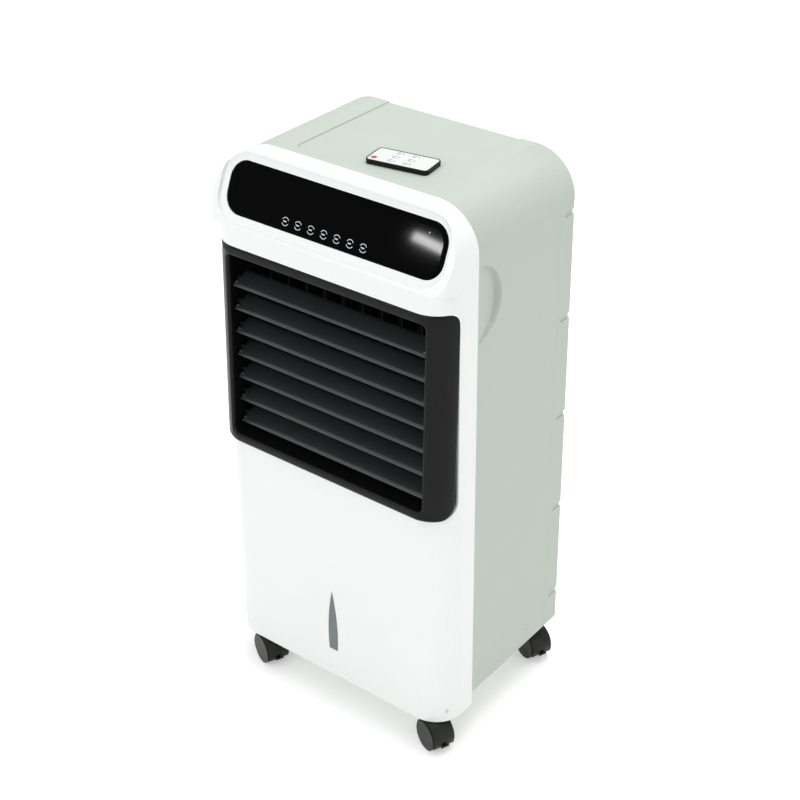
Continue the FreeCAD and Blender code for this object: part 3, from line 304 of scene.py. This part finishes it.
# ------------------------------------------------------------------ louvres
LOUVRE_Y = FRONT_Y + 20.0
LOUVRE_TOP, LOUVRE_PITCH, LOUVRE_COUNT = 603.0, 33.5, 7
LOUVRE_TILT = math.radians(20.0)
CHORD, THICK, SPAN = 30.0, 2.2, 151.9
PIVOT_END, LINK_PIN_END = 157.7, 154.1
PIVOT_R, LINK_PIN_R, LINK_PIN_CHORD = 1.8, 1.0, 13.0
END_BEAD_R, END_BEAD_FORWARD, END_BEAD_DROP = 1.9, 9.0, 1.6


def louvre_section():
    """A cambered blade section with a full round front edge, as (chord, height) points."""
    upper = []
    lower = []
    steps = 12
    for k in range(steps + 1):
        c = -CHORD / 2 + CHORD * k / steps
        camber = 0.9 * (1.0 - (2.0 * c / CHORD) ** 2)
        near = min(1.0, (c + CHORD / 2) / (THICK * 0.5)) if k else 0.0
        far = min(1.0, (CHORD / 2 - c) / (THICK * 0.5)) if k < steps else 0.0
        half = THICK / 2 * math.sqrt(max(0.0, min(near, far)))
        upper.append((c, camber - 0.45 + half))
        lower.append((c, camber - 0.45 - half))
    return upper + lower[-2:0:-1]


def turned(c, h):
    """A point of the blade's section, turned to the louvre's rest angle."""
    return (c * math.cos(LOUVRE_TILT) - h * math.sin(LOUVRE_TILT),
            c * math.sin(LOUVRE_TILT) + h * math.cos(LOUVRE_TILT))


def tube(x0, x1, y, z, radius, sides=14):
    """A pin across, with soft ends."""
    rings = []
    for x, r in ((x0, radius * 0.5), (x0, radius * 0.75), (x0 + 0.3, radius), (x1 - 0.3, radius),
                 (x1, radius * 0.75), (x1, radius * 0.5)):
        turns = [2 * math.pi * k / sides for k in range(sides)]
        rings.append([(x, y + r * math.cos(turn), z + r * math.sin(turn)) for turn in turns])
    return loft(rings, cap_start=True, cap_end=True)


def join(*parts):
    """Several (verts, faces) pairs as one."""
    verts, faces = [], []
    for part_verts, part_faces in parts:
        base = len(verts)
        verts += part_verts
        faces += [tuple(i + base for i in face) for face in part_faces]
    return verts, faces


section = louvre_section()
for n in range(LOUVRE_COUNT):
    pivot_z = LOUVRE_TOP - n * LOUVRE_PITCH
    rings = []
    for x, k in ((-SPAN, 0.55), (-SPAN + 0.5, 0.9), (-SPAN + 1.4, 1.0), (0.0, 1.0),
                 (SPAN - 1.4, 1.0), (SPAN - 0.5, 0.9), (SPAN, 0.55)):
        ring = []
        for c, h in section:
            dy, dz = turned(c * (0.97 + 0.03 * k), h * k)
            ring.append((x, LOUVRE_Y + dy, pivot_z + dz))
        rings.append(ring)
    blade = loft(rings, cap_start=True, cap_end=True)
    link_y, link_z = turned(LINK_PIN_CHORD, 0.0)
    bead_y, bead_z = LOUVRE_Y - END_BEAD_FORWARD, pivot_z - END_BEAD_DROP
    label = f"louvre_{n + 1}"
    mesh_piece(
        label + "_blade",
        *join(
            blade,
            tube(-PIVOT_END, -SPAN + 2, LOUVRE_Y, pivot_z, PIVOT_R),
            tube(SPAN - 2, PIVOT_END, LOUVRE_Y, pivot_z, PIVOT_R),
            tube(SPAN - 2, LINK_PIN_END, LOUVRE_Y + link_y, pivot_z + link_z, LINK_PIN_R),
            tube(-SPAN + 1, -SPAN + 5, bead_y, bead_z, END_BEAD_R),
            tube(SPAN - 5, SPAN - 1, bead_y, bead_z, END_BEAD_R),
        ),
        MATS["louvre_black"], label, "louvre_black", replaces=(label,),
    )

# ------------------------------------------------------------------ control panel
LENS_W, LENS_H, LENS_R = 334.0, 69.0, 25.0
LENS_RISE, DISH_DEPTH = 49.5, 7.0
LENS_EDGE, LENS_THICK = 2.4, 2.9
PANEL_POINTS = (14, 20)


def on_slope(x, up, out):
    """A point on the sloped face: along it, up it from the panel's middle, and out of it."""
    rise = LENS_RISE + up
    depth = DISH_DEPTH - out
    return (
        x,
        FRONT_Y + rise * math.sin(TILT) + depth * math.cos(TILT),
        HEAD_BASE + rise * math.cos(TILT) - depth * math.sin(TILT),
    )


def lens():
    """The glossy panel, flat with a rolled edge."""
    rings = []
    for shrink in (20.0, 14.0, 8.0):
        pts = round_rect(-LENS_W / 2 + shrink, LENS_W / 2 - shrink,
                         -LENS_H / 2 + shrink, LENS_H / 2 - shrink,
                         max(6.0, LENS_R - shrink), *PANEL_POINTS)
        rings.append([on_slope(x, z, 0.0) for x, z in pts])
    steps = 8
    for k in range(steps + 1):
        turn = math.radians(90.0 * k / steps)
        inset = LENS_EDGE * (1.0 - math.sin(turn))
        drop = LENS_EDGE * (1.0 - math.cos(turn)) * 0.8
        pts = round_rect(-LENS_W / 2 + inset, LENS_W / 2 - inset, -LENS_H / 2 + inset, LENS_H / 2 - inset,
                         LENS_R - inset, *PANEL_POINTS)
        rings.append([on_slope(x, z, -drop) for x, z in pts])
    pts = round_rect(-LENS_W / 2, LENS_W / 2, -LENS_H / 2, LENS_H / 2, LENS_R, *PANEL_POINTS)
    rings.append([on_slope(x, z, -LENS_THICK) for x, z in pts])
    mesh_piece("panel_lens", *loft(rings, cap_start=True, cap_end=True), MATS["lens_black"], CABINET,
               "lens_black", replaces=("control_lens",))


lens()
DISH_W, DISH_H, DISH_R = 350.0, 90.0, 35.0
HEAD_CORNER_R, RIM_SOFT = 20.0, 2.0
BOWL_GAP, BOWL_FOOT, BOWL_THIN = 0.15, 0.02, 0.06


def dish_bowl():
    """The white bowl round the panel, from the dish's rim down to the lens, closed underneath."""
    rings, low_rings = [], []
    steps = 12
    for k in range(steps + 1):
        t = k / steps
        wide = DISH_W / 2 * (1 - t) + (LENS_W / 2 + BOWL_GAP) * t
        high = DISH_H / 2 * (1 - t) + (LENS_H / 2 + BOWL_GAP) * t
        radius = DISH_R * (1 - t) + (LENS_R + BOWL_GAP) * t
        ring, low_ring = [], []
        for x, z in round_rect(-wide, wide, -high, high, radius, *PANEL_POINTS):
            over = max(0.0, abs(x) - (HALF_W - HEAD_CORNER_R))
            fall = HEAD_CORNER_R - math.sqrt(HEAD_CORNER_R ** 2 - over ** 2)
            rim = max(0.5, DISH_DEPTH - RIM_SOFT - fall)
            ring.append(on_slope(x, z, BOWL_THIN + rim * (1 - t) ** 2))
            low_ring.append(on_slope(x, z, BOWL_FOOT))
        rings.append(ring)
        low_rings.append(low_ring)
    mesh_piece("panel_bowl", *loft(rings + low_rings[::-1], wrap=True), MATS["shell_white"], CABINET,
               "shell_white")


dish_bowl()
KEY_COUNT, KEY_PITCH, KEY_R, KEY_X, KEY_UP = 7, 20.1, 5.1, -7.5, -22.5
PRINT_LIFT, PRINT_THICK, ARC_WIDE = 0.1, 0.08, 0.75
DOT_X, DOT_UP, DOT_R, DOT_SIDES = 138.0, 19.8, 0.9, 16


def arc_band(cx, cz, radius, width, start, end, steps=16):
    """The outline of a band along an arc, from one angle to another."""
    inner, outer = [], []
    for k in range(steps + 1):
        turn = math.radians(start + (end - start) * k / steps)
        inner.append((cx + (radius - width / 2) * math.cos(turn), cz + (radius - width / 2) * math.sin(turn)))
        outer.append((cx + (radius + width / 2) * math.cos(turn), cz + (radius + width / 2) * math.sin(turn)))
    return inner + outer[::-1]


def bar_mark(cx, cz, wide, high):
    """The outline of an upright rectangle."""
    return [(cx - wide / 2, cz - high / 2), (cx + wide / 2, cz - high / 2),
            (cx + wide / 2, cz + high / 2), (cx - wide / 2, cz + high / 2)]


def thin_solid(top, low):
    """A thin solid between two matching outlines, its caps laid in strips from end to end."""
    count = len(top)
    faces = []
    for k in range(count // 2 - 1):
        a, b, c, d = k, k + 1, count - 2 - k, count - 1 - k
        faces.append((a, b, c, d))
        faces.append((a + count, d + count, c + count, b + count))
    for k in range(count):
        n = (k + 1) % count
        faces.append((k, n, n + count, k + count))
    return top + low, faces


def printed(outline):
    """A print on the sloped panel."""
    return thin_solid([on_slope(x, z, PRINT_LIFT) for x, z in outline],
                      [on_slope(x, z, PRINT_LIFT - PRINT_THICK) for x, z in outline])


MATS["key_white"] = plastic("key_white", srgb(226, 232, 236), 0.5, 0.05, 0.02, 900.0, 0.01)
for n in range(KEY_COUNT):
    cx = KEY_X + (n - 3) * KEY_PITCH
    marks = [
        printed(arc_band(cx, KEY_UP, KEY_R, ARC_WIDE, 25, 155)),
        printed(arc_band(cx, KEY_UP, KEY_R, ARC_WIDE, 205, 335)),
        printed(bar_mark(cx, KEY_UP, 3.6, 1.3)),
        printed(bar_mark(cx - 2.6, KEY_UP + 0.2, 0.9, 1.8)),
    ]
    mesh_piece(f"key_mark_{n + 1}", *join(*marks), MATS["key_white"], CABINET, "lens_black", smooth=False)
dot = []
for k in range(DOT_SIDES):
    turn = math.pi + k * math.pi / 8
    dot.append((DOT_X + DOT_R * math.cos(turn), DOT_UP + DOT_R * math.sin(turn)))
mesh_piece("receiver_dot", *printed(dot), MATS["key_white"], CABINET, "lens_black", smooth=False)

# ------------------------------------------------------------------ remote control
REMOTE_TURN = math.radians(9.0)
REMOTE_X, REMOTE_Y, REMOTE_Z = 33.0, FRONT_Y + 120.0, 772.2
REMOTE_LONG, REMOTE_WIDE, REMOTE_CORNER = 85.0, 40.0, 6.0
MARK_LOW, MARK_HIGH = 6.0, 6.2
POWER_X, POWER_Y, POWER_R = -34.2, -10.6, 3.8


def on_remote(x, y, z):
    """A point on the remote, turned and placed as it lies on the cover."""
    return (
        REMOTE_X + x * math.cos(REMOTE_TURN) - y * math.sin(REMOTE_TURN),
        REMOTE_Y + x * math.sin(REMOTE_TURN) + y * math.cos(REMOTE_TURN),
        REMOTE_Z + z,
    )


def remote_membrane():
    """The keypad's face: a plate with a softened upper edge."""
    rings = []
    for inset, z in ((1.5, 5.4), (1.5, 6.0), (1.7, 6.06), (2.1, 6.08)):
        pts = round_rect(-REMOTE_LONG / 2 + inset, REMOTE_LONG / 2 - inset,
                         -REMOTE_WIDE / 2 + inset, REMOTE_WIDE / 2 - inset,
                         max(0.8, REMOTE_CORNER - inset), 8, 8)
        rings.append([on_remote(x, y, z) for x, y in pts])
    mesh_piece("remote_membrane", *loft(rings, cap_start=True, cap_end=True), MATS["remote_white"], "remote",
               "remote_white", replaces=("remote_face",))


remote_membrane()


def remote_mark(outline):
    """A print on the remote's face."""
    return thin_solid([on_remote(x, y, MARK_HIGH) for x, y in outline],
                      [on_remote(x, y, MARK_LOW) for x, y in outline])


MATS["button_red"] = plastic("button_red", srgb(205, 28, 44), 0.4, 0.05, 0.03, 900.0, 0.02)
MATS["mark_grey"] = plastic("mark_grey", srgb(104, 108, 110), 0.55, 0.05, 0.03, 900.0, 0.02)


def disc_outline(cx, cy, radius, count=24):
    """The outline of a disc."""
    return [(cx + radius * math.cos(math.pi + 2 * math.pi * k / count),
             cy + radius * math.sin(math.pi + 2 * math.pi * k / count)) for k in range(count)]


mesh_piece("remote_power_key", *remote_mark(disc_outline(POWER_X, POWER_Y, POWER_R)), MATS["button_red"],
           "remote", "remote_white", smooth=False)
marks = []
for cx in (-12.0, 9.2):
    for cy in (13.0, 0.8, -11.0):
        ring = []
        for r, order in ((2.9, 1), (2.1, -1)):
            arc = [(cx + r * math.cos(math.radians(30 + 300 * k / 12)),
                    cy + r * math.sin(math.radians(30 + 300 * k / 12))) for k in range(13)]
            ring += arc[::order]
        marks.append(remote_mark(ring))
        tick = [(cx + 5.0, cy - 1.6), (cx + 6.0, cy - 1.6), (cx + 6.0, cy + 1.6), (cx + 5.0, cy + 1.6)]
        marks.append(remote_mark(tick))
mesh_piece("remote_key_marks", *join(*marks), MATS["mark_grey"], "remote", "remote_white", smooth=False)

# ------------------------------------------------------------------ softened edges of the CAD nodes
replaced = {"grille_frame", "control_lens", "remote_face"} | {f"louvre_{n + 1}" for n in range(7)}
EDGE = {"top_cover": 0.8, "side_panel_left": 0.8, "side_panel_right": 0.8, "rear_frame": 0.8,
        "front_shell": 1.8, "base_tray": 0.5, "water_tank": 0.5, "air_filter": 0.4,
        "level_window": 0.4, "tank_lock": 0.6, "cord_gland": 0.4, "screw_caps": 0.35, "remote_case": 0.6}
BEVEL_SEGMENTS_WIDE = 4
for node, obj in NODES.items():
    if node in replaced:
        continue
    weld = obj.modifiers.new("weld", "WELD")
    weld.merge_threshold = 0.00001
    usual = 0.9 if node.startswith("caster_hood") else 0.4 if node.startswith("caster") else 0.2
    width = EDGE.get(node, usual)
    bevel = obj.modifiers.new("soft_edges", "BEVEL")
    bevel.width = width * MM
    bevel.segments = BEVEL_SEGMENTS_WIDE if width > 1 else 2
    bevel.limit_method = "ANGLE"
    bevel.angle_limit = math.radians(38)
    bevel.use_clamp_overlap = True
    bevel.harden_normals = True

# ------------------------------------------------------------------ stage, light and camera
FLOOR_SIZE, FLOOR_DROP, FLOOR_GLOW = 14.0, 0.0004, 0.34
WORLD_LIGHT = 0.62


def rays_seen(tree):
    """1 for camera, mirror and transmission rays, and 0 for the rays that light the object."""
    path = tree.nodes.new("ShaderNodeLightPath")
    value = path.outputs["Is Camera Ray"]
    for kind in ("Is Glossy Ray", "Is Transmission Ray"):
        larger = tree.nodes.new("ShaderNodeMath")
        larger.operation = "MAXIMUM"
        tree.links.new(value, larger.inputs[0])
        tree.links.new(path.outputs[kind], larger.inputs[1])
        value = larger.outputs[0]
    return value


floor_mesh = bpy.data.meshes.new("floor")
half = FLOOR_SIZE / 2
floor_mesh.from_pydata(
    [(-half, -half, 0), (half, -half, 0), (half, half, 0), (-half, half, 0)], [], [(0, 1, 2, 3)]
)
floor = bpy.data.objects.new("floor", floor_mesh)
floor.location.z = -FLOOR_DROP
bpy.context.collection.objects.link(floor)
floor_mat = bpy.data.materials.new("floor_white")
floor_mat.use_nodes = True
floor_bsdf = floor_mat.node_tree.nodes["Principled BSDF"]
floor_bsdf.inputs["Base Color"].default_value = (0.97, 0.97, 0.97, 1.0)
floor_bsdf.inputs["Roughness"].default_value = 0.8
floor_bsdf.inputs["Specular IOR Level"].default_value = 0.1
floor_tree = floor_mat.node_tree
floor_glow = floor_tree.nodes.new("ShaderNodeMath")
floor_glow.operation = "MULTIPLY"
floor_glow.inputs[1].default_value = FLOOR_GLOW
floor_tree.links.new(rays_seen(floor_tree), floor_glow.inputs[0])
floor_bsdf.inputs["Emission Color"].default_value = (1.0, 1.0, 1.0, 1.0)
floor_tree.links.new(floor_glow.outputs[0], floor_bsdf.inputs["Emission Strength"])
floor_mesh.materials.append(floor_mat)

world = bpy.data.worlds.new("studio")
bpy.context.scene.world = world
world.use_nodes = True
tree = world.node_tree
tree.nodes.clear()
out = tree.nodes.new("ShaderNodeOutputWorld")
seen = tree.nodes.new("ShaderNodeBackground")
seen.inputs["Color"].default_value = (1.0, 1.0, 1.0, 1.0)
seen.inputs["Strength"].default_value = 1.0
lit = tree.nodes.new("ShaderNodeBackground")
lit.inputs["Color"].default_value = (1.0, 1.0, 1.0, 1.0)
lit.inputs["Strength"].default_value = WORLD_LIGHT
mix = tree.nodes.new("ShaderNodeMixShader")
tree.links.new(rays_seen(tree), mix.inputs[0])
tree.links.new(lit.outputs[0], mix.inputs[1])
tree.links.new(seen.outputs[0], mix.inputs[2])
tree.links.new(mix.outputs[0], out.inputs[0])


def area_light(name, place, target, size, power, tall=None):
    """A soft lamp aimed at a point, square unless tall is given."""
    data = bpy.data.lights.new(name, "AREA")
    data.shape = "RECTANGLE"
    data.size = size
    data.size_y = tall or size
    data.energy = power
    lamp = bpy.data.objects.new(name, data)
    lamp.location = place
    lamp.rotation_euler = (Vector(target) - Vector(place)).to_track_quat("-Z", "Y").to_euler()
    bpy.context.collection.objects.link(lamp)


area_light("key", (-0.35, -3.3, 2.35), (0, 0, 0.4), 2.4, 26)
area_light("top", (0.2, 0.8, 3.4), (0, 0.1, 0.4), 2.4, 46)
area_light("flank", (3.3, -0.3, 1.3), (0, 0, 0.4), 2.0, 10)
# A small lamp where the glossy panel mirrors it towards the camera.
area_light("glare", (-0.935, -1.735, 1.15), (0.14, -0.1, 0.735), 0.09, 1.6, 0.022)

VIEW_PLACE, VIEW_LENS, VIEW_SHIFT = (1.1556, -1.4494, 1.5658), 74.37, (-0.0271, -0.0856)
VIEW_AZ = math.radians(37.305)
VIEW_EL = math.radians(29.309)
VIEW_ROLL = math.radians(-0.129)
sin_a, cos_a = math.sin(VIEW_AZ), math.cos(VIEW_AZ)
sin_e, cos_e = math.sin(VIEW_EL), math.cos(VIEW_EL)
ahead = Vector((-sin_a * cos_e, cos_a * cos_e, -sin_e))
across = Vector((cos_a, sin_a, 0.0))
upward = Vector((-sin_a * sin_e, cos_a * sin_e, cos_e))
right = across * math.cos(VIEW_ROLL) + upward * math.sin(VIEW_ROLL)
above = upward * math.cos(VIEW_ROLL) - across * math.sin(VIEW_ROLL)
camera_data = bpy.data.cameras.new("camera")
camera_data.sensor_width = 36.0
camera_data.lens = VIEW_LENS
camera_data.shift_x, camera_data.shift_y = VIEW_SHIFT
camera_data.clip_start = 0.05
camera = bpy.data.objects.new("camera", camera_data)
turn = Matrix((right, above, -ahead)).transposed().to_4x4()
camera.matrix_world = Matrix.Translation(VIEW_PLACE) @ turn
bpy.context.collection.objects.link(camera)
bpy.context.scene.camera = camera
bpy.context.scene.view_settings.view_transform = "Standard"
